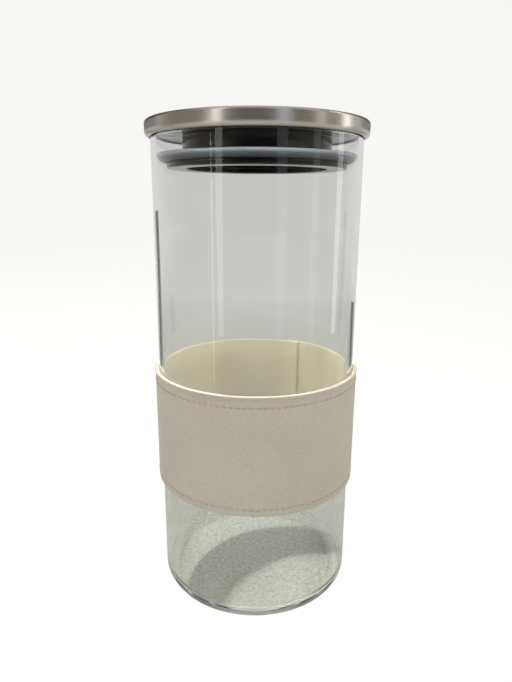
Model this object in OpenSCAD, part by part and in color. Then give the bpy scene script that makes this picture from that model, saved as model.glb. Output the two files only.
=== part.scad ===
// Glass storage canister: a straight borosilicate jar, a push-in steel lid with a
// silicone lip seal, and a leathercloth grip sleeve that slides on the glass.
// Frame: origin at the centre of the base, +Z up, +Y towards the sleeve's lap seam.

/* [Jar] */
// Outside diameter of the glass
jar_d = 100; // [70:1:140]
// Height from the table to the top of the glass rim
jar_h = 229; // [170:1:320]
// Thickness of the glass wall
wall = 2.2; // [1.6:0.1:4]
// Thickness of the glass floor
floor_t = 3.5; // [2.5:0.1:6]
// Radius of the outside corner between wall and base
corner_r = 6; // [4:0.5:10]
// Height of the shallow dome under the base
dome_h = 0.5; // [0.2:0.1:1.5]
// Width of the flat ring that the jar stands on
foot_w = 2; // [1:0.5:5]

/* [Lid cover] */
// Height of the pressed steel cover
cover_h = 7; // [6:0.5:12]
// How far the cover stands out past the glass
cover_overhang = 2.6; // [2:0.1:5]
// Thickness of the steel sheet
sheet = 0.5; // [0.3:0.1:0.8]
// Radius of the cover's top corner
cover_top_r = 1.3; // [1:0.1:2]
// Clearance between the cover's turned-in edge and the glass
curl_gap = 0.4; // [0.2:0.1:0.8]
// How far the turned edge hangs below the glass rim
cover_drop = 0.4; // [0.2:0.1:1]

/* [Plug] */
// Depth of the plug below the plate that sits on the rim
plug_depth = 14.2; // [12:0.2:30]
// Wall of the hollow neck
neck_wall = 1.8; // [1.2:0.1:3]
// Thickness of the plate
plate_t = 2; // [1.5:0.1:3]
// How far the flange above the seal stands out from the neck
upper_flange_w = 4.6; // [3:0.1:6]
// Thickness of the flange above the seal
upper_flange_t = 0.9; // [0.8:0.1:2]
// How far the retaining ring stands out from the neck
ring_w = 7.6; // [5:0.1:9]
// Clearance between the retaining ring and the glass
ring_gap = 4.8; // [2:0.1:8]
// Thickness of the retaining ring
ring_t = 2.3; // [1.5:0.1:4]

/* [Seal] */
// Height of the seal's root between the two flanges
seal_root_h = 3.9; // [3:0.1:6]
// Thickness of the seal's lip
lip_t = 1.9; // [1.2:0.1:2.6]
// Clearance between the lip and the glass
lip_gap = 0.3; // [0.2:0.05:0.8]

/* [Sleeve] */
// Height of the sleeve
sleeve_h = 58.6; // [30:0.5:80]
// Height of the sleeve's lower edge above the table
sleeve_z = 59.4; // [20:0.5:80]
// Thickness of the leathercloth face
face_t = 1.2; // [0.8:0.1:2]
// Thickness of the lining
lining_t = 0.6; // [0.4:0.1:1.2]
// Clearance between the lining and the glass
sleeve_gap = 0.3; // [0.2:0.05:0.8]
// Length of the lap where one end lies over the other
lap = 8; // [6:0.5:14]

/* [Stitching] */
// Distance from one stitch to the next
stitch_pitch = 3.1; // [2.5:0.1:4]
// Diameter of the thread
thread_d = 0.45; // [0.3:0.05:0.6]
// Distance of the upper row from the sleeve's upper edge
top_margin = 5.3; // [3:0.1:8]
// Distance of the lower row from the sleeve's lower edge
bottom_margin = 3.2; // [2:0.1:8]

/* [Hidden] */

fit = 0.05;                             // clearance between pieces that touch in one assembly
arc_steps = 10;                         // straight lines in one arc of an outline
outline_fn = 180;                       // sides of a round wall in the preview
thread_fn = 16;                         // sides of a thread

corner_swell = 1;                       // how much tighter the jar's corner is inside than outside
rim_wall_step = 0.5;                    // upstand's wall beyond the radius of the cover's top corner
ring_edge_r = 0.8;                      // rounded lower edge of the retaining ring
root_setback = 0.5;                     // how far the seal's root stops short of the ring's edge
lip_wrap = -80;                         // angle at which the round of the lip runs into its belly
inner_end = 59.4;                       // angle of the sleeve's end that lies against the glass
ramp_angle = 33;                        // angle in which the other end climbs over it
ramp_clear = 1.5;                       // angle left clear between the climb and the inner end
strip_steps = 123;                      // straight lines in the plan of the whole strip
stitch_space = 0.9;                     // bare length between one stitch and the next
channel_d = 0.25;                       // depth of the channel that a row of stitches lies in
channel_room = 0.35;                    // how much wider the channel is than the thread
channel_run_out = 0.5;                  // angle that a channel runs past each end of the strip
row_lead_in = 0.6;                      // share of a stitch's pitch left bare at each end of a row
seam_lead_in = 1;                       // length left bare at each end of the upright row

jar_r = jar_d / 2;
bore_r = jar_r - wall;
inner_corner_r = corner_r - corner_swell;
dome_r = jar_r - corner_r - foot_w;

cover_r = jar_r + cover_overhang;
cover_z = jar_h - cover_drop;
cover_top = cover_z + cover_h;
cover_curl_r = cover_overhang - curl_gap;

plate_z = cover_z + sheet + fit;
plate_r = cover_r - sheet - fit;
rim_wall = cover_top_r + rim_wall_step; // upstand that carries the cover's top corner
neck_r = bore_r - ring_gap - ring_w;
hollow_r = neck_r - neck_wall;
plug_bottom = plate_z - plug_depth;
ring_top = plug_bottom + ring_t;
root_top = ring_top + seal_root_h + 2 * fit;

seal_r = bore_r - lip_gap;
seal_inner_r = neck_r + fit;

lining_r = jar_r + sleeve_gap;
face_r = lining_r + lining_t;
sleeve_r = face_r + face_t;
lap_lift = lining_t + face_t + fit;
lap_angle = lap / sleeve_r * 180 / PI;
outer_end = inner_end + 360 + lap_angle;        // angle of the end that lies on top
ramp_end = inner_end + 360 - ramp_clear;        // the strip has climbed clear of the inner end here
ramp_start = ramp_end - ramp_angle;

channel_w = thread_d + channel_room;
stitch_l = stitch_pitch - stitch_space;
seam_angle = outer_end - lap_angle / 2;
top_row_z = sleeve_z + sleeve_h - top_margin;
bottom_row_z = sleeve_z + bottom_margin;

// Points of an arc about [x, y], from angle a to angle b
function arc(x, y, r, a, b) =
    [for (i = [0 : arc_steps]) let (t = a + (b - a) * i / arc_steps) [x + r * cos(t), y + r * sin(t)]];

// Smooth step from 0 to 1
function ease(t) = t <= 0 ? 0 : t >= 1 ? 1 : t * t * (3 - 2 * t);

// How far the strip has climbed away from the glass at an angle
function climb(a) = lap_lift * ease((a - ramp_start) / (ramp_end - ramp_start));

// A point on the strip that climbs, r out from the axis before it climbs
function strip(r, a) = (r + climb(a)) * [cos(a), sin(a)];

module turned(points) {
    rotate_extrude($fn = outline_fn) polygon(points);
}

// ---- Jar ----

module glass_jar() {
    rim_r = wall / 2;
    outside = concat(
        [for (i = [0 : arc_steps]) let (t = i / arc_steps) [dome_r * t, dome_h * (1 - t * t)]],
        arc(jar_r - corner_r, corner_r, corner_r, -90, 0),
        arc(jar_r - rim_r, jar_h - rim_r, rim_r, 0, 180));
    inside = concat(
        arc(bore_r - inner_corner_r, floor_t + inner_corner_r, inner_corner_r, 0, -90),
        [[0, floor_t]]);
    color("lightcyan", 0.35) turned(concat(outside, inside));
}

// ---- Lid ----

module lid_cover() {
    skin = concat(
        [[0, cover_top]],
        arc(cover_r - cover_top_r, cover_top - cover_top_r, cover_top_r, 90, 0),
        arc(cover_r - cover_curl_r, cover_z + cover_curl_r, cover_curl_r, 0, -90));
    inside = concat(
        arc(cover_r - cover_curl_r, cover_z + cover_curl_r, cover_curl_r - sheet, -90, 0),
        arc(cover_r - cover_top_r, cover_top - cover_top_r, cover_top_r - sheet, 0, 90),
        [[0, cover_top - sheet]]);
    color("silver") turned(concat(skin, inside));
}

module lid_filler_disc() {
    disc_bottom = plate_z + plate_t + fit;
    color("dimgray")
        translate([0, 0, disc_bottom])
            cylinder(r = plate_r - rim_wall - 2 * fit, h = cover_top - sheet - fit - disc_bottom, $fn = outline_fn);
}

module lid_plug() {
    chamfer = cover_curl_r - sheet;
    upstand_top = cover_top - sheet - fit;
    color([0.08, 0.08, 0.09])
        turned([
            [0, plate_z], [hollow_r, plate_z], [hollow_r, ring_top + fit],
            [neck_r, ring_top + fit], [neck_r, root_top],
            [neck_r + upper_flange_w, root_top], [neck_r + upper_flange_w, root_top + upper_flange_t],
            [neck_r, root_top + upper_flange_t], [neck_r, plate_z],
            [plate_r - chamfer, plate_z], [plate_r, plate_z + chamfer],
            [plate_r, upstand_top - cover_top_r], [plate_r - cover_top_r, upstand_top],
            [plate_r - rim_wall, upstand_top], [plate_r - rim_wall, plate_z + plate_t],
            [0, plate_z + plate_t]]);
}

module seal_ring() {
    root_bottom = ring_top + fit;
    lip_top = root_bottom + seal_root_h;
    tip_r = lip_t / 2;
    root_r = neck_r + ring_w - root_setback;
    swell = lip_top - lip_t - root_bottom;
    color("slategray")
        turned(concat(
            [[seal_inner_r, lip_top]],
            arc(seal_r - tip_r, lip_top - tip_r, tip_r, 90, lip_wrap),
            [for (t = [10 : 10 : 90])
                [root_r + (seal_r - tip_r - root_r) * cos(t), root_bottom + swell * (1 - sin(t))]],
            [[seal_inner_r, root_bottom]]));
}

module retaining_ring() {
    outer_r = neck_r + ring_w;
    color([0.08, 0.08, 0.09])
        turned(concat(
            [[hollow_r, ring_top], [hollow_r, plug_bottom]],
            arc(outer_r - ring_edge_r, plug_bottom + ring_edge_r, ring_edge_r, -90, 0),
            [[outer_r, ring_top]]));
}

// ---- Sleeve ----

// Plan of the strip from end to end, r0 to r1 out from the axis before it climbs
module strip_plan(r0, r1, start, stop) {
    angles = [for (i = [0 : strip_steps]) start + (stop - start) * i / strip_steps];
    polygon(concat(
        [for (a = angles) strip(r0, a)],
        [for (i = [strip_steps : -1 : 0]) strip(r1, angles[i])]));
}

// One ply of the sleeve
module ply(r0, r1) {
    translate([0, 0, sleeve_z]) linear_extrude(sleeve_h) strip_plan(r0, r1, inner_end, outer_end);
}

// The channel that a row of stitches lies in, open at both ends of the strip
module row_channel(z) {
    translate([0, 0, z - channel_w / 2]) linear_extrude(channel_w)
        strip_plan(sleeve_r - channel_d, sleeve_r + lining_t,
            inner_end - channel_run_out, outer_end + channel_run_out);
}

module sleeve_face() {
    color([0.80, 0.77, 0.71])
        difference() {
            ply(face_r, sleeve_r);
            row_channel(top_row_z);
            row_channel(bottom_row_z);
        }
}

module sleeve_lining() {
    color([0.87, 0.85, 0.70]) ply(lining_r, face_r - fit);
}

// One stitch along the sleeve at angle a and height z
module stitch_along(a, z) {
    seat = sleeve_r - channel_d + thread_d / 2 + fit;
    half = stitch_l / 2 / sleeve_r * 180 / PI;
    from = strip(seat, a - half);
    to = strip(seat, a + half);
    run = to - from;
    translate([from.x, from.y, z])
        rotate([0, 0, atan2(run.y, run.x)]) rotate([0, 90, 0])
            cylinder(d = thread_d, h = norm(run), $fn = thread_fn);
}

// A row all round, from the end on top back to the end against the glass
module stitch_row(z) {
    step = stitch_pitch / sleeve_r * 180 / PI;
    lead_in = step * row_lead_in;
    color([0.72, 0.67, 0.60])
        for (a = [outer_end - 360 + lead_in : step : outer_end - lead_in])
            stitch_along(a, z);
}

// The upright row that holds the lap together
module stitches_seam() {
    seat = sleeve_r + climb(seam_angle) + thread_d / 2 + fit;
    lead_in = channel_w + seam_lead_in;
    color([0.72, 0.67, 0.60])
        for (z = [bottom_row_z + lead_in : stitch_pitch : top_row_z - lead_in - stitch_l])
            rotate([0, 0, seam_angle]) translate([seat, 0, z])
                cylinder(d = thread_d, h = stitch_l, $fn = thread_fn);
}

glass_jar();
lid_cover();
lid_filler_disc();
lid_plug();
seal_ring();
retaining_ring();
sleeve_face();
sleeve_lining();
stitch_row(top_row_z);  // stitches_top
stitch_row(bottom_row_z);  // stitches_bottom
stitches_seam();
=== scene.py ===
import math

import bpy
import numpy as np
from mathutils import Matrix, Vector


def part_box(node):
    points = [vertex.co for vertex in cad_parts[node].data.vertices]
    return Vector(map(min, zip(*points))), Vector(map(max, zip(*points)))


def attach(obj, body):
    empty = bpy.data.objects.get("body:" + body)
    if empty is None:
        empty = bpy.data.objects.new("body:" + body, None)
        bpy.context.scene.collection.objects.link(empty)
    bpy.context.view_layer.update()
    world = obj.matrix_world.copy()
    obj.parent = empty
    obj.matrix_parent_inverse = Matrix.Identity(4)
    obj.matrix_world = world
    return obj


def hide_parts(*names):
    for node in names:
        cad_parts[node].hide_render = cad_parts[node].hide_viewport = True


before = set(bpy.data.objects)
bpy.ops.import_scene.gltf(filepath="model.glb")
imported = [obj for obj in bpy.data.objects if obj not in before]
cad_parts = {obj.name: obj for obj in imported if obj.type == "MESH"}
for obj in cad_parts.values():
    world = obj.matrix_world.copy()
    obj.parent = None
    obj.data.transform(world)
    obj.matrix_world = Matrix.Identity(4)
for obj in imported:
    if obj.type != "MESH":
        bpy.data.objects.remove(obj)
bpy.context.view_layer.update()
MM = 0.001


# ---- Glass jar -------------------------------------------------------------------------
# One straight-walled piece of clear borosilicate, with a thick floor, rounded corners and a
# rim melted to a half-round. It stands on a narrow ring round a shallow dome.
JAR_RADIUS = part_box("glass_jar")[1].x
JAR_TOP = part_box("glass_jar")[1].z
JAR_WALL = 2.2 * MM
JAR_FLOOR = 3.5 * MM
FOOT_CORNER = 6 * MM
FLOOR_CORNER = 5 * MM
DOME = 0.5 * MM
FOOT_RING_TOP = 2 * MM
FOOT_RING_FADE = 0.6 * MM
DOME_RADIUS = JAR_RADIUS - FOOT_CORNER - 2 * MM


def arc(r, z, radius, start, end, steps=12):
    """Points of an arc about (r, z), in degrees."""
    turns = [math.radians(start + (end - start) * i / steps) for i in range(steps + 1)]
    return [(r + radius * math.cos(t), z + radius * math.sin(t)) for t in turns]


def held(outline, closed, hold=0.25 * MM):
    """The outline with a point close to each end of its longer straight runs, so that they shade flat."""
    out = []
    pairs = zip(outline, outline[1:] + outline[:1] if closed else outline[1:])
    for (r0, z0), (r1, z1) in pairs:
        run = math.hypot(r1 - r0, z1 - z0)
        out.append((r0, z0))
        if run > 4 * hold:
            cuts = [hold / run] + [i / 8 for i in range(1, 8)] * (run > 40 * hold) + [1 - hold / run]
            out += [(r0 + (r1 - r0) * t, z0 + (z1 - z0) * t) for t in cuts]
    return out if closed else out + [outline[-1]]


def lathe(name, outline, material, body, closed=True, segments=240):
    """A piece turned about the jar's axis from the (radius, height) points of its section."""
    points = held(outline, closed)
    turns = [math.tau * i / segments for i in range(segments)]
    vertices, rings = [], []
    for r, z in points:
        if r < 1e-7:
            rings.append([len(vertices)] * segments)
            vertices.append((0, 0, z))
        else:
            rings.append(range(len(vertices), len(vertices) + segments))
            vertices += [(r * math.cos(t), r * math.sin(t), z) for t in turns]
    faces = []
    for i in range(len(points) if closed else len(points) - 1):
        low, high = rings[i], rings[(i + 1) % len(points)]
        if low[0] == low[-1] and high[0] == high[-1]:
            continue
        for j in range(segments):
            k = (j + 1) % segments
            corners = [low[j], low[k], high[k], high[j]]
            faces.append(list(dict.fromkeys(corners)))
    mesh = bpy.data.meshes.new(name)
    mesh.from_pydata(vertices, [], faces)
    return placed(name, mesh, [material], body)


def placed(name, mesh, materials, body):
    """The mesh as a smooth-shaded piece of the object that rides on a body."""
    mesh.validate()
    mesh.shade_smooth()
    for material in materials:
        mesh.materials.append(material)
    piece = bpy.data.objects.new(name, mesh)
    bpy.context.scene.collection.objects.link(piece)
    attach(piece, body)
    return piece


def linear(code):
    """An sRGB hex colour such as "b0a898" as linear RGBA."""
    parts = [int(code[i:i + 2], 16) / 255 for i in (0, 2, 4)]
    return tuple(c / 12.92 if c <= 0.04045 else ((c + 0.055) / 1.055) ** 2.4 for c in parts) + (1.0,)


def add(tree, kind, links=None, stops=(), **settings):
    """A node of a kind, with its settings, its inputs set or linked, and a ramp's colour stops."""
    node = tree.nodes.new(kind)
    for key, value in settings.items():
        setattr(node, key, value)
    for i, (place, code) in enumerate(stops):
        stop = node.color_ramp.elements[i] if i < 2 else node.color_ramp.elements.new(place)
        stop.position, stop.color = place, linear(code)
    for key, value in (links or {}).items():
        if isinstance(value, bpy.types.NodeSocket):
            tree.links.new(value, node.inputs[key])
        else:
            node.inputs[key].default_value = value
    return node


def new_material(name):
    """An empty node material and its tree."""
    material = bpy.data.materials.new(name)
    material.use_nodes = True
    material.node_tree.nodes.clear()
    return material, material.node_tree


# Borosilicate, drawn and fire-polished. Nearly colourless, so the walls show by their edges
# and by faint upright draw lines, and handling leaves soft smears that dull the gloss.
# Lamps shine straight through it. A tint dims them at the foot's ring, where the real glass
# would bend their light aside. A pattern's scale is its features in a millimetre.
glass, tree = new_material("borosilicate_drawn")
where = add(tree, "ShaderNodeTexCoord").outputs["Object"]
along = add(tree, "ShaderNodeMapping", {"Vector": where, "Scale": (60, 60, 3)}).outputs[0]
draw_lines = add(tree, "ShaderNodeTexNoise", {"Vector": along, "Scale": 1.0, "Detail": 2.0})
smears = add(tree, "ShaderNodeTexNoise", {"Vector": where, "Scale": 0.038 / MM, "Detail": 4.0})
gloss = add(tree, "ShaderNodeMapRange", {
    "Value": smears.outputs["Fac"], "From Min": 0.5, "From Max": 0.75, "To Min": 0.0, "To Max": 0.03})
bump = add(tree, "ShaderNodeBump", {
    "Height": draw_lines.outputs["Fac"], "Strength": 0.25, "Distance": 0.06 * MM})
clear = add(tree, "ShaderNodeBsdfPrincipled", {
    "Base Color": linear("fafbfa"), "Roughness": gloss.outputs[0], "IOR": 1.47,
    "Transmission Weight": 1.0, "Normal": bump.outputs[0]})
flat_out = add(tree, "ShaderNodeVectorMath", {0: where, 1: (1, 1, 0)}, operation="MULTIPLY")
from_axis = add(tree, "ShaderNodeVectorMath", {0: flat_out.outputs[0]}, operation="LENGTH")
height = add(tree, "ShaderNodeSeparateXYZ", {0: where}).outputs["Z"]
outward = add(tree, "ShaderNodeMapRange", {
    "Value": from_axis.outputs["Value"], "From Min": JAR_RADIUS - 10 * MM, "From Max": JAR_RADIUS})
foot_ring = add(tree, "ShaderNodeValToRGB", {0: outward.outputs[0]}, [
    (0.14, "fbfcfb"), (0.2, "7c7e7c"), (0.5, "7c7e7c"), (0.62, "fbfcfb")]).outputs[0]
under = add(tree, "ShaderNodeMapRange", {
    "Value": height, "From Min": FOOT_RING_TOP, "From Max": FOOT_RING_TOP + FOOT_RING_FADE,
    "To Min": 1.0, "To Max": 0.0})
passed = add(tree, "ShaderNodeMix", {"Factor": under.outputs[0], "A": linear("fbfcfb"), "B": foot_ring},
             data_type="RGBA")
lamps = add(tree, "ShaderNodeBsdfTransparent", {"Color": passed.outputs["Result"]})
through = add(tree, "ShaderNodeMixShader", {
    0: add(tree, "ShaderNodeLightPath").outputs["Is Shadow Ray"], 1: clear.outputs[0], 2: lamps.outputs[0]})
add(tree, "ShaderNodeOutputMaterial", {"Surface": through.outputs[0]})

rim = JAR_WALL / 2
bore = JAR_RADIUS - JAR_WALL
jar = lathe(
    "glass_jar_blown",
    [(DOME_RADIUS * t / 12, DOME * (1 - (t / 12) ** 2)) for t in range(13)]
    + arc(JAR_RADIUS - FOOT_CORNER, FOOT_CORNER, FOOT_CORNER, -90, 0, 20)
    + arc(JAR_RADIUS - rim, JAR_TOP - rim, rim, 0, 180)
    + arc(bore - FLOOR_CORNER, JAR_FLOOR + FLOOR_CORNER, FLOOR_CORNER, 0, -90, 20)
    + [(0, JAR_FLOOR)],
    glass, "jar", closed=False)
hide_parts("glass_jar")


# ---- Steel cover -----------------------------------------------------------------------
# A disc of 0.5 mm stainless steel, pressed to a shallow cap, then brushed while it spins.
# Its skirt is rolled in under the plastic plate, and that is what holds it on.
COVER_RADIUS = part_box("lid_cover")[1].x
COVER_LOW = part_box("lid_cover")[0].z
COVER_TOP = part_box("lid_cover")[1].z
SHEET = 0.5 * MM
TOP_CORNER = 1.3 * MM
SKIRT_GAP = 0.4 * MM
ROLL = COVER_RADIUS - JAR_RADIUS - SKIRT_GAP

# Stainless steel, brushed round the axis. The grit's lines run round it, so lamps smear
# upright across the skirt and into rays on the top, and single lines catch the light.
steel, tree = new_material("stainless_brushed")
where = add(tree, "ShaderNodeTexCoord").outputs["Object"]
flat_out = add(tree, "ShaderNodeVectorMath", {0: where, 1: (1, 1, 0)}, operation="MULTIPLY")
from_axis = add(tree, "ShaderNodeVectorMath", {0: flat_out.outputs[0]}, operation="LENGTH")
height = add(tree, "ShaderNodeSeparateXYZ", {0: where}).outputs["Z"]
across = add(tree, "ShaderNodeCombineXYZ", {"X": from_axis.outputs["Value"], "Y": height})
grit = add(tree, "ShaderNodeTexNoise", {"Vector": across.outputs[0], "Scale": 4.2 / MM, "Detail": 3.0})
patches = add(tree, "ShaderNodeTexNoise", {"Vector": where, "Scale": 0.06 / MM, "Detail": 3.0})
roughness = add(tree, "ShaderNodeMapRange", {
    "Value": grit.outputs["Fac"], "From Min": 0.3, "From Max": 0.7, "To Min": 0.25, "To Max": 0.4})
tone = add(tree, "ShaderNodeValToRGB", {0: patches.outputs["Fac"]}, [(0.3, "cbc5be"), (0.7, "d8d2cb")])
bump = add(tree, "ShaderNodeBump", {"Height": grit.outputs["Fac"], "Strength": 0.12, "Distance": 0.02 * MM})
round_axis = add(tree, "ShaderNodeTangent", direction_type="RADIAL", axis="Z")
brushed = add(tree, "ShaderNodeBsdfPrincipled", {
    "Base Color": tone.outputs[0], "Metallic": 1.0, "Roughness": roughness.outputs[0], "Anisotropic": 0.75,
    "Anisotropic Rotation": 0.25, "Tangent": round_axis.outputs[0], "Normal": bump.outputs[0]})
add(tree, "ShaderNodeOutputMaterial", {"Surface": brushed.outputs[0]})

cover = lathe(
    "lid_cover_pressed",
    [(0, COVER_TOP)]
    + arc(COVER_RADIUS - TOP_CORNER, COVER_TOP - TOP_CORNER, TOP_CORNER, 90, 0)
    + arc(COVER_RADIUS - ROLL, COVER_LOW + ROLL, ROLL, 0, -90, 16)
    + arc(COVER_RADIUS - ROLL, COVER_LOW + ROLL, ROLL - SHEET, -90, 0, 16)
    + arc(COVER_RADIUS - TOP_CORNER, COVER_TOP - TOP_CORNER, TOP_CORNER - SHEET, 0, 90)
    + [(0, COVER_TOP - SHEET)],
    steel, "lid", closed=False)
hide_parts("lid_cover")


# ---- Filler disc -----------------------------------------------------------------------
# A disc of die-cut closed-cell EVA foam between the cover and the plug's plate. It stops
# the thin steel from drumming and denting, and is shut in where nobody sees it.
foam, tree = new_material("eva_foam_die_cut")
where = add(tree, "ShaderNodeTexCoord").outputs["Object"]
cells = add(tree, "ShaderNodeTexVoronoi", {"Vector": where, "Scale": 1.6 / MM})
# Painted shade: the colour is darker in the pits at the cells' middles, where the bump is lowest.
tone = add(tree, "ShaderNodeValToRGB", {0: cells.outputs["Distance"]}, [(0.1, "2c2c2e"), (0.8, "48484a")])
bump = add(tree, "ShaderNodeBump", {
    "Height": cells.outputs["Distance"], "Strength": 0.6, "Distance": 0.15 * MM})
skin = add(tree, "ShaderNodeBsdfPrincipled", {
    "Base Color": tone.outputs[0], "Roughness": 0.85, "Normal": bump.outputs[0]})
add(tree, "ShaderNodeOutputMaterial", {"Surface": skin.outputs[0]})

low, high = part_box("lid_filler_disc")
edge = 0.3 * MM
filler = lathe(
    "filler_disc_foam",
    [(0, low.z)] + arc(high.x - edge, low.z + edge, edge, -90, 0, 4)
    + arc(high.x - edge, high.z - edge, edge, 0, 90, 4) + [(0, high.z)],
    foam, "lid", closed=False)
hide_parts("lid_filler_disc")


# ---- Plug and retaining ring -----------------------------------------------------------
# The plug is one moulding in black ABS: a plate under the steel, a hollow neck, and a thin
# flange above the seal. The ring below is a second moulding, welded on to trap the seal.
PLATE_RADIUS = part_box("lid_plug")[1].x
UPSTAND_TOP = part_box("lid_plug")[1].z
RING_LOW, RING_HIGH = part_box("retaining_ring")[0].z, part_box("retaining_ring")[1].z
RING_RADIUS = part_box("retaining_ring")[1].x
SEAL_LOW, SEAL_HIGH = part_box("seal_ring")[0].z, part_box("seal_ring")[1].z
SEAL_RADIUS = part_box("seal_ring")[1].x
FIT = 0.05 * MM
PLATE_LOW = COVER_LOW + SHEET + FIT
PLATE = 2 * MM
NECK_RADIUS = RING_RADIUS - 7.6 * MM
HOLLOW_RADIUS = NECK_RADIUS - 1.8 * MM
FLANGE_RADIUS = NECK_RADIUS + 4.6 * MM
FLANGE = 0.9 * MM
UPSTAND = 1.8 * MM

# ABS, moulded against a polished steel tool. Deep black with a wet gloss, so it shows
# lamps as clean streaks, a little rippled, with faint rubs from washing.
abs_black, tree = new_material("abs_moulded_gloss_black")
where = add(tree, "ShaderNodeTexCoord").outputs["Object"]
rubs = add(tree, "ShaderNodeTexNoise", {
    "Vector": where, "Scale": 0.12 / MM, "Detail": 6.0, "Roughness": 0.65})
ripple = add(tree, "ShaderNodeTexNoise", {"Vector": where, "Scale": 0.09 / MM, "Detail": 1.0})
gloss = add(tree, "ShaderNodeMapRange", {
    "Value": rubs.outputs["Fac"], "From Min": 0.4, "From Max": 0.7, "To Min": 0.14, "To Max": 0.26})
tone = add(tree, "ShaderNodeValToRGB", {0: rubs.outputs["Fac"]}, [(0.45, "0b0b0c"), (0.8, "161617")])
bump = add(tree, "ShaderNodeBump", {"Height": ripple.outputs["Fac"], "Strength": 0.2, "Distance": 0.05 * MM})
moulded = add(tree, "ShaderNodeBsdfPrincipled", {
    "Base Color": tone.outputs[0], "Roughness": gloss.outputs[0], "IOR": 1.54, "Normal": bump.outputs[0]})
add(tree, "ShaderNodeOutputMaterial", {"Surface": moulded.outputs[0]})

chamfer = ROLL - SHEET
flange_low = SEAL_HIGH + FIT
round_edge = 0.3 * MM
plug = lathe(
    "lid_plug_moulded",
    [(0, PLATE_LOW)] + arc(HOLLOW_RADIUS - 1 * MM, PLATE_LOW - 1 * MM, 1 * MM, 90, 0, 6)
    + [(HOLLOW_RADIUS, RING_HIGH + FIT), (NECK_RADIUS, RING_HIGH + FIT), (NECK_RADIUS, flange_low)]
    + arc(FLANGE_RADIUS - round_edge, flange_low + round_edge, round_edge, -90, 0, 5)
    + arc(FLANGE_RADIUS - round_edge, flange_low + FLANGE - round_edge, round_edge, 0, 90, 5)
    + arc(NECK_RADIUS + round_edge, flange_low + FLANGE + round_edge, round_edge, -90, -180, 5)
    + arc(NECK_RADIUS + 0.8 * MM, PLATE_LOW - 0.8 * MM, 0.8 * MM, 180, 90, 6)
    + [(PLATE_RADIUS - chamfer, PLATE_LOW), (PLATE_RADIUS, PLATE_LOW + chamfer),
       (PLATE_RADIUS, UPSTAND_TOP - TOP_CORNER), (PLATE_RADIUS - TOP_CORNER, UPSTAND_TOP),
       (PLATE_RADIUS - UPSTAND, UPSTAND_TOP), (PLATE_RADIUS - UPSTAND, PLATE_LOW + PLATE),
       (0, PLATE_LOW + PLATE)],
    abs_black, "lid", closed=False)
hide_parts("lid_plug")

ring_edge = 0.8 * MM
ring = lathe(
    "retaining_ring_moulded",
    arc(HOLLOW_RADIUS + 0.4 * MM, RING_LOW + 0.4 * MM, 0.4 * MM, -180, -90, 6)
    + arc(RING_RADIUS - ring_edge, RING_LOW + ring_edge, ring_edge, -90, 0, 12)
    + arc(RING_RADIUS - round_edge, RING_HIGH - round_edge, round_edge, 0, 90, 5)
    + [(HOLLOW_RADIUS, RING_HIGH)],
    abs_black, "lid")
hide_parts("retaining_ring")


# ---- Seal ------------------------------------------------------------------------------
# A moulded ring of translucent silicone, stretched over the neck. Its root is trapped
# between the plug's flange and the ring, and its one lip wipes the inside of the glass.
LIP = 1.9 * MM
tip = LIP / 2
root_radius = RING_RADIUS - 0.5 * MM
swell = SEAL_HIGH - LIP - SEAL_LOW
belly = SEAL_RADIUS - tip - root_radius

# Silicone rubber, moulded, undyed. Milky and faintly blue, with a satin skin. It passes
# light. Its colour is graded by height: painted pale at the thin lip, where light passes, and
# painted dark at the root, as painted shade under the lip and against the black plastic.
silicone, tree = new_material("silicone_moulded_clear")
where = add(tree, "ShaderNodeTexCoord").outputs["Object"]
height = add(tree, "ShaderNodeSeparateXYZ", {0: where}).outputs["Z"]
# Painted light and shade: the colour darkens toward the seal's root and pales toward its lip.
up = add(tree, "ShaderNodeMapRange", {"Value": height, "From Min": SEAL_LOW, "From Max": SEAL_HIGH})
cloud = add(tree, "ShaderNodeTexNoise", {"Vector": where, "Scale": 0.14 / MM, "Detail": 3.0})
painted_lip_light_root_shade = add(tree, "ShaderNodeMath", {0: cloud.outputs["Fac"], 1: 0.08, 2: up.outputs[0]},
            operation="MULTIPLY_ADD")
tone = add(tree, "ShaderNodeValToRGB", {0: painted_lip_light_root_shade.outputs[0]}, [
    (0.05, "1c1f21"), (0.45, "646d76"), (0.95, "b6c2cf")])
bump = add(tree, "ShaderNodeBump", {"Height": cloud.outputs["Fac"], "Strength": 0.2, "Distance": 0.1 * MM})
milky = add(tree, "ShaderNodeBsdfPrincipled", {
    "Base Color": tone.outputs[0], "Roughness": 0.36, "IOR": 1.41, "Subsurface Weight": 0.25,
    "Subsurface Radius": (1.0, 1.0, 1.1), "Subsurface Scale": 1.0 * MM, "Normal": bump.outputs[0]})
add(tree, "ShaderNodeOutputMaterial", {"Surface": milky.outputs[0]})

seal = lathe(
    "seal_ring_lipped",
    [(NECK_RADIUS + FIT, SEAL_HIGH)]
    + arc(SEAL_RADIUS - tip, SEAL_HIGH - tip, tip, 90, -80)
    + [(root_radius + belly * math.cos(math.radians(t)), SEAL_LOW + swell * (1 - math.sin(math.radians(t))))
       for t in range(10, 91, 5)]
    + [(NECK_RADIUS + FIT, SEAL_LOW)],
    silicone, "lid")
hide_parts("seal_ring")


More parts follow.
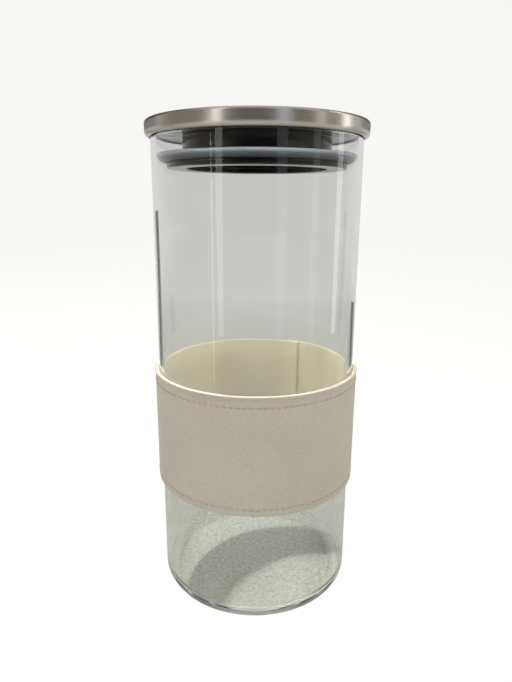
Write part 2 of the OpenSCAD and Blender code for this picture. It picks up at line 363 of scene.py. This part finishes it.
# ---- Sleeve: the strip's plan ----------------------------------------------------------
# A strip of leathercloth with a lining glued to its back, wrapped round the jar so that one
# end laps over the other at the back, where both are glued and sewn.
SLEEVE_LOW, SLEEVE_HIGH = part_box("sleeve_face")[0].z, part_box("sleeve_face")[1].z
FACE = 1.2 * MM
LINING = 0.6 * MM
GLASS_GAP = 0.3 * MM
LINING_RADIUS = JAR_RADIUS + GLASS_GAP
FACE_RADIUS = LINING_RADIUS + LINING
SLEEVE_RADIUS = FACE_RADIUS + FACE
LAP_LIFT = LINING + FACE + FIT
LAP = 8 * MM
LAP_ANGLE = math.degrees(LAP / SLEEVE_RADIUS)
INNER_END = 59.4
OUTER_END = INNER_END + 360 + LAP_ANGLE
RAMP_ANGLE, RAMP_CLEAR = 33, 1.5
RAMP_END = INNER_END + 360 - RAMP_CLEAR
RAMP_START = RAMP_END - RAMP_ANGLE
FLARE = 0.35 * MM
FLARE_DEPTH = 5 * MM


def smooth_step(t):
    t = np.clip(t, 0, 1)
    return t * t * (3 - 2 * t)


def climb(angle):
    """How far the strip stands off the glass at an angle in degrees, over the other end's lap."""
    return LAP_LIFT * smooth_step((angle - RAMP_START) / (RAMP_END - RAMP_START))


def relax(angle, z):
    """How far the soft strip strays from a cylinder: its top edge flares and its faces wave."""
    flare = FLARE * smooth_step((z - SLEEVE_HIGH + FLARE_DEPTH) / FLARE_DEPTH) ** 2
    turn = np.radians(angle)
    wave = np.sin(3 * turn + 0.7) * 0.5 + np.sin(7 * turn + 2.1) * 0.3 + np.sin(13 * turn) * 0.2
    edge = smooth_step((z - SLEEVE_LOW - 20 * MM) / (SLEEVE_HIGH - SLEEVE_LOW - 20 * MM))
    return flare * (1 + 0.25 * wave) + 0.06 * MM * wave * edge


def strip_mesh(name, inside, outside, angles, levels, dent, corner, edge_material):
    """A closed strip between two radii, pushed in outside by dent(angle, z), its cut edges rounded."""
    angles, levels = np.array(angles), np.array(levels)
    a, z = np.meshgrid(angles, levels, indexing="ij")
    from_edge = np.minimum(z - levels[0], levels[-1] - z)
    cut = np.clip(1 - from_edge / corner, 0, 1)
    rounding = corner * (1 - np.sqrt(1 - np.minimum(cut, 0.999) ** 2))
    stray = climb(a) + relax(a, z)
    turn = np.radians(a)
    sides = []
    for radius in (inside + stray + 0.4 * rounding, outside + stray - rounding - dent(a, z)):
        sides.append(np.stack([radius * np.cos(turn), radius * np.sin(turn), z], axis=-1).reshape(-1, 3))
    columns, rows = len(angles), len(levels)
    count = columns * rows

    def grid(i, j, side):
        return side * count + i * rows + j

    faces, looks = [], []
    for i in range(columns - 1):
        for j in range(rows - 1):
            faces.append((grid(i, j, 1), grid(i + 1, j, 1), grid(i + 1, j + 1, 1), grid(i, j + 1, 1)))
            faces.append((grid(i, j, 0), grid(i, j + 1, 0), grid(i + 1, j + 1, 0), grid(i + 1, j, 0)))
            looks += [0, edge_material]
        for j, flip in ((0, False), (rows - 1, True)):
            rim_face = [grid(i, j, 0), grid(i + 1, j, 0), grid(i + 1, j, 1), grid(i, j, 1)]
            faces.append(tuple(reversed(rim_face)) if flip else tuple(rim_face))
            looks.append(edge_material)
    for i, flip in ((0, True), (columns - 1, False)):
        for j in range(rows - 1):
            end_face = [grid(i, j, 0), grid(i, j + 1, 0), grid(i, j + 1, 1), grid(i, j, 1)]
            faces.append(tuple(reversed(end_face)) if flip else tuple(end_face))
            looks.append(edge_material)
    mesh = bpy.data.meshes.new(name)
    mesh.from_pydata(np.concatenate(sides).tolist(), [], faces)
    mesh.polygons.foreach_set("material_index", looks)
    return mesh


# ---- Sleeve: face ----------------------------------------------------------------------
# Leathercloth: polyurethane on a knitted backing, embossed with a fine calf grain. Each row
# of stitches pulls it in along a line, and each needle hole puckers it.
PITCH = 3.1 * MM
THREAD = 0.45 * MM
TOP_ROW = SLEEVE_HIGH - 5.3 * MM
BOTTOM_ROW = SLEEVE_LOW + 3.2 * MM
STEP_ANGLE = math.degrees(PITCH / SLEEVE_RADIUS)
LEAD_IN = 0.6 * STEP_ANGLE
SEAM_ANGLE = OUTER_END - LAP_ANGLE / 2
STITCH_SPACE = 0.9 * MM
CHANNEL_ROOM = 0.35 * MM
SEAM_LEAD_IN = THREAD + CHANNEL_ROOM + 1 * MM
PULL = 0.14 * MM
HOLE = 0.26 * MM
STITCH = 1.85 * MM

row_angles = np.arange(OUTER_END - 360 + LEAD_IN, OUTER_END - LEAD_IN, STEP_ANGLE)
seam_heights = np.arange(BOTTOM_ROW + SEAM_LEAD_IN, TOP_ROW - SEAM_LEAD_IN - PITCH + STITCH_SPACE, PITCH)


def stitch_line(along_line, across_line, sewn):
    """How far a row pulls the face in, by the place along it from a stitch's middle and across it."""
    near = np.exp(-(across_line / (0.55 * MM)) ** 2)
    near = near * (0.15 + 0.85 * np.cos(math.pi * along_line / PITCH) ** 2)
    hole = np.exp(-((np.abs(along_line) - STITCH / 2) / (0.32 * MM)) ** 2)
    hole = hole * np.exp(-(across_line / (0.36 * MM)) ** 2)
    shoulder = np.exp(-((np.abs(across_line) - 1.3 * MM) / (0.8 * MM)) ** 2)
    pucker = 0.05 * MM * np.cos(math.tau * along_line / PITCH) * shoulder
    return sewn * (PULL * near + HOLE * hole - pucker)


def face_dent(a, z):
    """The pull of the two long rows and of the seam's upright row on the face."""
    first = row_angles[0]
    along_row = ((a - first + STEP_ANGLE / 2) % STEP_ANGLE - STEP_ANGLE / 2) / STEP_ANGLE * PITCH
    sewn_row = (a > first - STEP_ANGLE / 2) & (a < row_angles[-1] + STEP_ANGLE / 2)
    middle = seam_heights[0] + (PITCH - STITCH_SPACE) / 2
    along_seam = (z - middle + PITCH / 2) % PITCH - PITCH / 2
    sewn_seam = (z > middle - PITCH / 2) & (z < seam_heights[-1] + PITCH)
    across_seam = np.radians(a - SEAM_ANGLE) * SLEEVE_RADIUS
    return (stitch_line(along_row, z - TOP_ROW, sewn_row) + stitch_line(along_row, z - BOTTOM_ROW, sewn_row)
            + stitch_line(along_seam, across_seam, sewn_seam))


def spread(start, end, step):
    """Even levels from start up to end, end left out."""
    count = max(1, round((end - start) / step))
    return [start + (end - start) * i / count for i in range(count)]


# The mesh's levels crowd at the cut edges, which are rounded, and at the rows of stitches.
edges = [0, 0.06, 0.14, 0.26, 0.4, 0.6]
near_edge, near_row = 0.9 * MM, 1.2 * MM
face_levels = [SLEEVE_LOW + e * MM for e in edges]
for start, end, step in (
        (SLEEVE_LOW + near_edge, BOTTOM_ROW - near_row, 0.5),
        (BOTTOM_ROW - near_row, BOTTOM_ROW + near_row, 0.2),
        (BOTTOM_ROW + near_row, TOP_ROW - near_row, 1.1),
        (TOP_ROW - near_row, TOP_ROW + near_row, 0.2),
        (TOP_ROW + near_row, SLEEVE_HIGH - near_edge, 0.5)):
    face_levels += spread(start, end, step * MM)
face_levels += [SLEEVE_HIGH - e * MM for e in reversed(edges)]
face_columns = 780
face_angles = [INNER_END + (OUTER_END - INNER_END) * i / face_columns for i in range(face_columns + 1)]

# Polyurethane leathercloth, embossed and satin. Pebbles about 0.8 mm across break the
# light softly, the valleys between them are painted a shade darker as painted shade, and
# handling warms the tone.
leathercloth, tree = new_material("polyurethane_leathercloth_embossed")
where = add(tree, "ShaderNodeTexCoord").outputs["Object"]
bend = add(tree, "ShaderNodeTexNoise", {"Vector": where, "Scale": 0.9 / MM, "Detail": 2.0})
bent = add(tree, "ShaderNodeVectorMath", {0: bend.outputs["Color"], 1: (0.0006, 0.0006, 0.0006), 2: where},
           operation="MULTIPLY_ADD")
pebbles = add(tree, "ShaderNodeTexVoronoi", {"Vector": bent.outputs[0], "Scale": 1.3 / MM},
              feature="SMOOTH_F1")
creases = add(tree, "ShaderNodeTexNoise", {
    "Vector": where, "Scale": 0.7 / MM, "Detail": 4.0, "Roughness": 0.6})
relief = add(tree, "ShaderNodeMath", {0: pebbles.outputs["Distance"], 1: -0.6, 2: creases.outputs["Fac"]},
             operation="MULTIPLY_ADD")
blotch = add(tree, "ShaderNodeTexNoise", {"Vector": where, "Scale": 0.026 / MM, "Detail": 3.0})
tint = add(tree, "ShaderNodeValToRGB", {0: blotch.outputs["Fac"]}, [(0.3, "c0bbb0"), (0.7, "c6c2b7")])
# Painted shade: the grain's valleys, low in the bump's relief, are darkened in the colour.
valley_painted_shade = add(tree, "ShaderNodeValToRGB", {0: relief.outputs[0]}, [(0.05, "d8d2c8"), (0.45, "ffffff")])
colour = add(tree, "ShaderNodeMix", {"Factor": 0.3, "A": tint.outputs[0], "B": valley_painted_shade.outputs[0]},
             data_type="RGBA", blend_type="MULTIPLY")
roughness = add(tree, "ShaderNodeMapRange", {
    "Value": creases.outputs["Fac"], "To Min": 0.48, "To Max": 0.66})
bump = add(tree, "ShaderNodeBump", {"Height": relief.outputs[0], "Strength": 0.2, "Distance": 0.08 * MM})
skin = add(tree, "ShaderNodeBsdfPrincipled", {
    "Base Color": colour.outputs["Result"], "Roughness": roughness.outputs[0], "IOR": 1.45,
    "Sheen Weight": 0.08, "Normal": bump.outputs[0]})
add(tree, "ShaderNodeOutputMaterial", {"Surface": skin.outputs[0]})

# The knitted cotton backing, seen at the cut edges. Off-white and fibrous.
backing, tree = new_material("knitted_backing_cut")
where = add(tree, "ShaderNodeTexCoord").outputs["Object"]
fibres = add(tree, "ShaderNodeTexNoise", {
    "Vector": where, "Scale": 1.5 / MM, "Detail": 4.0, "Roughness": 0.7})
bump = add(tree, "ShaderNodeBump", {"Height": fibres.outputs["Fac"], "Strength": 0.5, "Distance": 0.1 * MM})
tone = add(tree, "ShaderNodeValToRGB", {0: fibres.outputs["Fac"]}, [(0.3, "ddd8ca"), (0.7, "f2eee3")])
fuzz = add(tree, "ShaderNodeBsdfPrincipled", {
    "Base Color": tone.outputs[0], "Roughness": 0.9, "Normal": bump.outputs[0]})
add(tree, "ShaderNodeOutputMaterial", {"Surface": fuzz.outputs[0]})

face_mesh = strip_mesh("sleeve_face_sewn", FACE_RADIUS, SLEEVE_RADIUS, face_angles, face_levels, face_dent,
                       0.35 * MM, 1)
face = placed("sleeve_face_sewn", face_mesh, [leathercloth, backing], "sleeve")
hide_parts("sleeve_face")


# ---- Sleeve: lining --------------------------------------------------------------------
# A thin cream lining with a brushed suede nap, glued to the back of the face. It grips the
# glass, keeps it from scratches, and shows through the jar's far wall.
lining_columns = 360
lining_angles = [INNER_END + (OUTER_END - INNER_END) * i / lining_columns for i in range(lining_columns + 1)]
lining_levels = [SLEEVE_LOW + e * MM for e in edges[:4]]
lining_levels += spread(SLEEVE_LOW + 0.5 * MM, SLEEVE_HIGH - 0.5 * MM, 2 * MM)
lining_levels += [SLEEVE_HIGH - e * MM for e in reversed(edges[:4])]

# Polyester suede, brushed. Cream, quite matt, with faint streaks where the nap lies over.
suede, tree = new_material("polyester_suede_brushed")
where = add(tree, "ShaderNodeTexCoord").outputs["Object"]
nap = add(tree, "ShaderNodeTexNoise", {"Vector": where, "Scale": 0.7 / MM, "Detail": 4.0})
strokes = add(tree, "ShaderNodeMapping", {"Vector": where, "Scale": (70, 70, 14)})
lie = add(tree, "ShaderNodeTexNoise", {"Vector": strokes.outputs[0], "Scale": 1.0, "Detail": 3.0})
blend = add(tree, "ShaderNodeMath", {0: nap.outputs["Fac"], 1: 0.3, 2: lie.outputs["Fac"]},
            operation="MULTIPLY_ADD")
tone = add(tree, "ShaderNodeValToRGB", {0: blend.outputs[0]}, [(0.4, "f7eed0"), (0.9, "fdf7e0")])
bump = add(tree, "ShaderNodeBump", {"Height": nap.outputs["Fac"], "Strength": 0.3, "Distance": 0.08 * MM})
cloth = add(tree, "ShaderNodeBsdfPrincipled", {
    "Base Color": tone.outputs[0], "Roughness": 0.85, "Sheen Weight": 0.2, "Normal": bump.outputs[0]})
add(tree, "ShaderNodeOutputMaterial", {"Surface": cloth.outputs[0]})

lining_mesh = strip_mesh("sleeve_lining_glued", LINING_RADIUS, FACE_RADIUS - FIT, lining_angles,
                         lining_levels, lambda a, z: 0 * a, 0.1 * MM, 0)
lining = placed("sleeve_lining_glued", lining_mesh, [suede], "sleeve")
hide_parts("sleeve_lining")


# ---- Stitches --------------------------------------------------------------------------
# Lockstitch in two-ply polyester thread: a row under the top edge, one above the bottom
# edge, and an upright one that closes the lap. Each stitch dives into a hole at each end.
DIVE = 0.6 * MM
PLIES = 2

# Twisted polyester thread, a shade browner than the leathercloth, with a slight lustre.
polyester, tree = new_material("polyester_thread_twisted")
where = add(tree, "ShaderNodeTexCoord").outputs["Object"]
fibres = add(tree, "ShaderNodeTexNoise", {"Vector": where, "Scale": 2.6 / MM, "Detail": 3.0})
bump = add(tree, "ShaderNodeBump", {"Height": fibres.outputs["Fac"], "Strength": 0.4, "Distance": 0.05 * MM})
tone = add(tree, "ShaderNodeValToRGB", {0: fibres.outputs["Fac"]}, [(0.3, "a8947f"), (0.7, "beac98")])
twisted = add(tree, "ShaderNodeBsdfPrincipled", {
    "Base Color": tone.outputs[0], "Roughness": 0.55, "Sheen Weight": 0.3, "Normal": bump.outputs[0]})
add(tree, "ShaderNodeOutputMaterial", {"Surface": twisted.outputs[0]})


def sewn_row(name, stitches, node):
    """One piece of all the stitches in a row, each given as its middle, forward and outward directions."""
    rings, sides = 13, 10
    vertices, faces = [], []
    for middle, forward, outward in stitches:
        sideways = forward.cross(outward)
        first = len(vertices)
        for i in range(rings):
            s = 2 * i / (rings - 1) - 1
            centre = middle + forward * (s * STITCH / 2) - outward * (DIVE * abs(s) ** 5)
            for j in range(sides):
                t = math.tau * j / sides
                radius = THREAD / 2 * (1 + 0.16 * math.cos(PLIES * t + 5.5 * s)) * (1 - 0.25 * abs(s) ** 6)
                vertices.append(centre + outward * radius * math.cos(t) + sideways * radius * math.sin(t))
        for i in range(rings - 1):
            for j in range(sides):
                k = (j + 1) % sides
                low, high = first + i * sides, first + (i + 1) * sides
                faces.append((low + j, high + j, high + k, low + k))
        last = first + (rings - 1) * sides
        faces.append(tuple(first + j for j in range(sides)))
        faces.append(tuple(last + j for j in reversed(range(sides))))
    mesh = bpy.data.meshes.new(name)
    mesh.from_pydata(vertices, [], faces)
    row = placed(name, mesh, [polyester], "sleeve")
    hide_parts(node)
    return row


def on_strip(angle, z):
    """The middle, forward and outward directions of a stitch at a place on the strip."""
    turn = math.radians(angle)
    outward = Vector((math.cos(turn), math.sin(turn), 0))
    radius = SLEEVE_RADIUS + float(climb(angle)) + float(relax(angle, z)) - PULL + THREAD * 0.4
    return outward * radius + Vector((0, 0, z)), Vector((-math.sin(turn), math.cos(turn), 0)), outward


seam = [on_strip(SEAM_ANGLE, z + (PITCH - STITCH_SPACE) / 2) for z in seam_heights]
rows = [
    sewn_row("stitches_top_row", [on_strip(a, TOP_ROW) for a in row_angles], "stitches_top"),
    sewn_row("stitches_bottom_row", [on_strip(a, BOTTOM_ROW) for a in row_angles], "stitches_bottom"),
    sewn_row("stitches_seam_row", [(m, Vector((0, 0, 1)), o) for m, _, o in seam], "stitches_seam")]


# ---- Studio ----------------------------------------------------------------------------
# A pale matt floor that sweeps up to a pale backdrop. A small key lamp stands high behind
# the jar's left shoulder, soft lamps fill the front, and strips draw lines in the gloss.
NEAR, FAR = 0.1, 0.9

# Seamless paper, matt, and evenly bright to the direct view, as for a cut-out, while the
# glass and the steel see it as a grey table that pales with distance.
paper, tree = new_material("studio_paper_matt")
where = add(tree, "ShaderNodeTexCoord").outputs["Object"]
away = add(tree, "ShaderNodeSeparateXYZ", {0: where}).outputs["Y"]
far = add(tree, "ShaderNodeMapRange", {"Value": away, "From Min": NEAR, "From Max": FAR})
mottle = add(tree, "ShaderNodeTexNoise", {
    "Vector": where, "Scale": 0.52 / MM, "Detail": 4.0, "Roughness": 0.7})
near_tone = add(tree, "ShaderNodeValToRGB", {0: mottle.outputs["Fac"]}, [(0.35, "919590"), (0.65, "babeb9")])
table = add(tree, "ShaderNodeBsdfDiffuse", {"Color": near_tone.outputs[0]})
haze = add(tree, "ShaderNodeEmission", {"Color": linear("d8d7d5"), "Strength": 1.0})
glassy_look = add(tree, "ShaderNodeMixShader", {0: far.outputs[0], 1: table.outputs[0], 2: haze.outputs[0]})
faint = add(tree, "ShaderNodeBsdfDiffuse", {"Color": linear("616160")})
glow = add(tree, "ShaderNodeEmission", {"Color": linear("f4f4f2"), "Strength": 0.97})
bright = add(tree, "ShaderNodeAddShader", {0: faint.outputs[0], 1: glow.outputs[0]})
seen = add(tree, "ShaderNodeLightPath").outputs["Is Camera Ray"]
sheet_look = add(tree, "ShaderNodeMixShader", {0: seen, 1: glassy_look.outputs[0], 2: bright.outputs[0]})
add(tree, "ShaderNodeOutputMaterial", {"Surface": sheet_look.outputs[0]})

PAPER_DROP = 0.05 * MM
profile = [(-3.0, 0)] + arc(1.6, 0.8, 0.8, -90, 0, 24) + [(2.4, 3.0)]
sweep_mesh = bpy.data.meshes.new("studio_sweep")
sweep_mesh.from_pydata([(x, y, z - PAPER_DROP) for y, z in profile for x in (-4, 4)], [],
                       [(2 * i, 2 * i + 1, 2 * i + 3, 2 * i + 2) for i in range(len(profile) - 1)])
sweep_mesh.materials.append(paper)
sweep_mesh.shade_smooth()
sweep = bpy.data.objects.new("studio_sweep", sweep_mesh)
bpy.context.scene.collection.objects.link(sweep)


def lamp(name, azimuth, elevation, distance, size, power, tone="ffffff", aim=(0, 0, 0.11), shines=True):
    """A lamp facing aim, its azimuth from the front to the right. Gloss sees it only if it shines."""
    light = bpy.data.lights.new(name, "AREA")
    light.shape = "RECTANGLE"
    light.size, light.size_y = size
    light.energy = power
    light.color = linear(tone)[:3]
    turn, lift = math.radians(azimuth), math.radians(elevation)
    out = Vector((math.sin(turn) * math.cos(lift), -math.cos(turn) * math.cos(lift), math.sin(lift)))
    holder = bpy.data.objects.new(name, light)
    holder.location = Vector(aim) + out * distance
    holder.rotation_euler = out.to_track_quat("Z", "Y").to_euler()
    holder.visible_camera, holder.visible_glossy, holder.visible_transmission = False, shines, not shines
    bpy.context.scene.collection.objects.link(holder)


lamp("key_high_behind_left", -144.5, 62.5, 1.5, (0.05, 0.05), 8, "fffaf2", (0, 0, 0), shines=False)
lamp("fill_overhead", 0, 80, 1.6, (1.4, 1.4), 2.9, shines=False)
lamp("fill_left", -55, 28, 0.8, (0.5, 0.4), 1.9, "fff8f0", (0, 0, 0.14), shines=False)
lamp("fill_right", 60, 28, 0.8, (0.5, 0.4), 1.9, "fff8f0", (0, 0, 0.14), shines=False)
lamp("fill_near", 0, 62, 0.4, (0.25, 0.2), 1.0, "fff8f0", (0, 0, 0.18), shines=False)
lamp("strip_left_front", -37, 22, 0.5, (0.06, 0.62), 0.23)
lamp("strip_right_front", 24, 22, 0.5, (0.09, 0.62), 0.12, "dfe6ff")
lamp("strip_right", 60, 22, 0.5, (0.07, 0.62), 0.09)
lamp("strip_right_back", 92, 22, 0.5, (0.07, 0.62), 0.3)
lamp("strip_thin_left", -44, 0, 0.34, (0.003, 0.3), 0.02)

# Dark cards behind the jar on both sides. Only glass and gloss see them. The low ones draw
# the dark lines down the edges of the glass, the high ones darken the ends of the steel.
for name, tone, start, end, outline in (
        ("card_left_low", "4a4846", -148, -138, [(0.36, 0.001), (1.5, 0.001), (1.5, 0.17)]),
        ("card_left_high", "1c1b1a", -165, -112, [(0.5, 0.28), (0.5, 0.9)]),
        ("card_right_low", "4a4846", 138, 148, [(0.36, 0.001), (0.86, 0.001)]),
        ("card_right_high", "3a3836", 118, 165, [(0.5, 0.28), (0.5, 0.9)])):
    card_look, tree = new_material("studio_" + name)
    add(tree, "ShaderNodeOutputMaterial", {
        "Surface": add(tree, "ShaderNodeBsdfDiffuse", {"Color": linear(tone)}).outputs[0]})
    headings = np.radians(np.linspace(start, end, 13))
    card_mesh = bpy.data.meshes.new(name)
    card_mesh.from_pydata([(r * math.sin(t), -r * math.cos(t), z) for t in headings for r, z in outline], [],
                          [(i * len(outline) + j, i * len(outline) + j + 1, (i + 1) * len(outline) + j + 1,
                            (i + 1) * len(outline) + j) for i in range(12) for j in range(len(outline) - 1)])
    card_mesh.materials.append(card_look)
    card = bpy.data.objects.new(name, card_mesh)
    bpy.context.scene.collection.objects.link(card)
    card.visible_camera = card.visible_diffuse = card.visible_shadow = False

# The room's air: near black straight in front, dim and warm round it, and paler behind
# and overhead. The direct view sees only a pale backdrop.
world = bpy.data.worlds.new("studio_air")
world.use_nodes = True
tree = world.node_tree
tree.nodes.clear()
heading = add(tree, "ShaderNodeSeparateXYZ", {0: add(tree, "ShaderNodeTexCoord").outputs["Generated"]})
behind = add(tree, "ShaderNodeMapRange", {"Value": heading.outputs["Y"], "From Min": -0.98, "From Max": 0.5})
above = add(tree, "ShaderNodeMapRange", {"Value": heading.outputs["Z"], "From Min": 0.4, "From Max": 0.8})
lit = add(tree, "ShaderNodeMath", {0: behind.outputs[0], 1: above.outputs[0]}, operation="MAXIMUM")
air_tone = add(tree, "ShaderNodeValToRGB", {0: lit.outputs[0]}, [
    (0.0, "2c2a27"), (0.06, "4a4540"), (0.2, "6e655d"), (0.45, "8a847c"), (0.7, "8a847c"), (1.0, "cfccce")])
air = add(tree, "ShaderNodeBackground", {"Color": air_tone.outputs[0]})
pale = add(tree, "ShaderNodeBackground", {"Color": linear("efefed")})
seen = add(tree, "ShaderNodeLightPath").outputs["Is Camera Ray"]
air_look = add(tree, "ShaderNodeMixShader", {0: seen, 1: air.outputs[0], 2: pale.outputs[0]})
add(tree, "ShaderNodeOutputWorld", {"Surface": air_look.outputs[0]})
bpy.context.scene.world = world
bpy.context.scene.view_settings.view_transform = "Standard"

# The thick foot pipes light across itself, so paths through the glass may be long.
bpy.context.scene.cycles.max_bounces = 32
bpy.context.scene.cycles.transmission_bounces = 32
bpy.context.scene.cycles.glossy_bounces = 32


# ---- Camera ----------------------------------------------------------------------------
# A camera in front, 27 cm from the jar's axis and lower than its lid, tipped down by nearly
# 15 degrees and rolled a third of a degree. Its lens is for a sensor 36 mm high.
EYE = Vector((0, -0.2707, 0.2005))
TIP_DOWN = math.radians(14.64)
ROLLED = math.radians(0.33)
SENSOR = 36
LENS = 28.2774

view = bpy.data.cameras.new("camera")
view.sensor_width = SENSOR
view.lens = LENS
view.clip_start = 0.01
camera = bpy.data.objects.new("camera", view)
camera.matrix_world = (Matrix.Translation(EYE) @ Matrix.Rotation(math.pi / 2 - TIP_DOWN, 4, "X")
                       @ Matrix.Rotation(ROLLED, 4, "Z"))
bpy.context.scene.collection.objects.link(camera)
bpy.context.scene.camera = camera
